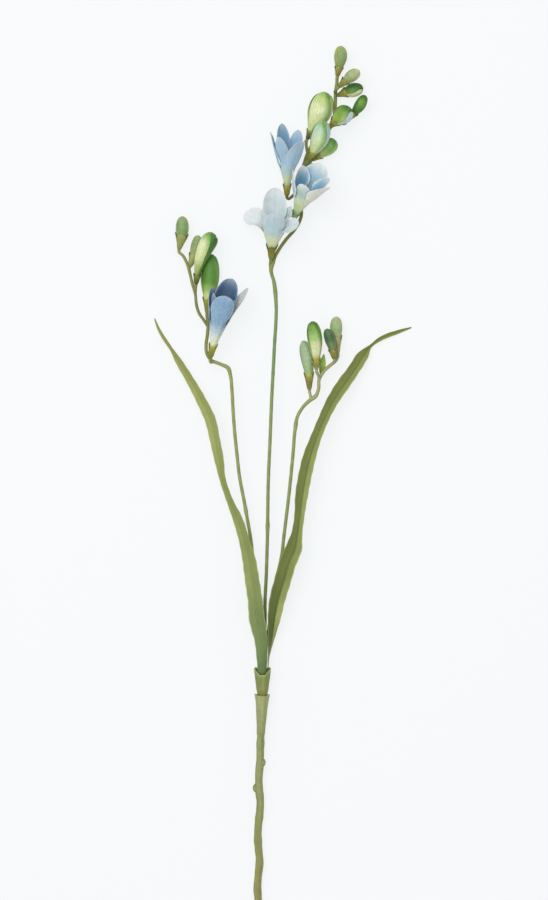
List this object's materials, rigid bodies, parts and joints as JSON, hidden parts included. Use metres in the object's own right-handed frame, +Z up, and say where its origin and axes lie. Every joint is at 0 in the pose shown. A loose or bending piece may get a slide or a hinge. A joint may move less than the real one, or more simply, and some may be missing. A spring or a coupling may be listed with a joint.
{
  "type": "freesia stem",
  "caption": "Cut freesia stem lying flat, with a crimped stem, strap leaves, wiry stalks, pale blue funnel flowers and green buds in zigzag heads.",
  "frame": {"origin": "middle of the bounding box, on the surface that the stem lies on", "axes": "+Y along the stem from the cut end to the top bud, +Z up from the surface, +X to the right seen from above"},
  "size_m": [0.1812, 0.6181, 0.0407],
  "materials": {
    "stem": "matte, crimped",
    "collar": "matte",
    "stalk": "matte",
    "leaf": "matte, fine veins along the blade",
    "leaf_dark": "matte, fine veins along the blade",
    "bud_pale": "satin, green to cream",
    "bud_green": "satin",
    "bud_dark": "satin",
    "bud_grey": "satin",
    "petal_pale": "thin, slightly see-through",
    "petal_blue": "thin, slightly see-through",
    "petal_deep": "thin, slightly see-through",
    "stamen": "powdery"
  },
  "bodies": {
    "root": {"main_stem": "stem", "sheath_lower": "collar", "sheath_upper": "collar", "stalk_left": "stalk", "stalk_centre": "stalk", "stalk_right": "stalk", "leaf_left": "leaf", "leaf_right": "leaf_dark", "flower_c1": "petal_pale", "flower_c2": "petal_blue", "flower_c3": "petal_blue", "flower_l5": "petal_deep", "stamens_c1": "stamen", "stamens_c2": "stamen", "stamens_c3": "stamen", "stamens_l5": "stamen", "bud_a": "bud_grey", "bud_b": "bud_grey", "bud_c": "bud_dark", "bud_d": "bud_pale", "bud_e1": "bud_green", "bud_e2": "bud_dark", "bud_f": "bud_pale", "bud_g": "bud_green", "bud_l1": "bud_grey", "bud_l2": "bud_grey", "bud_l3": "bud_pale", "bud_l4": "bud_green", "bud_r1": "bud_grey", "bud_r2": "bud_green", "bud_r3": "bud_dark", "bud_r4": "bud_grey"}
  },
  "joints": []
}
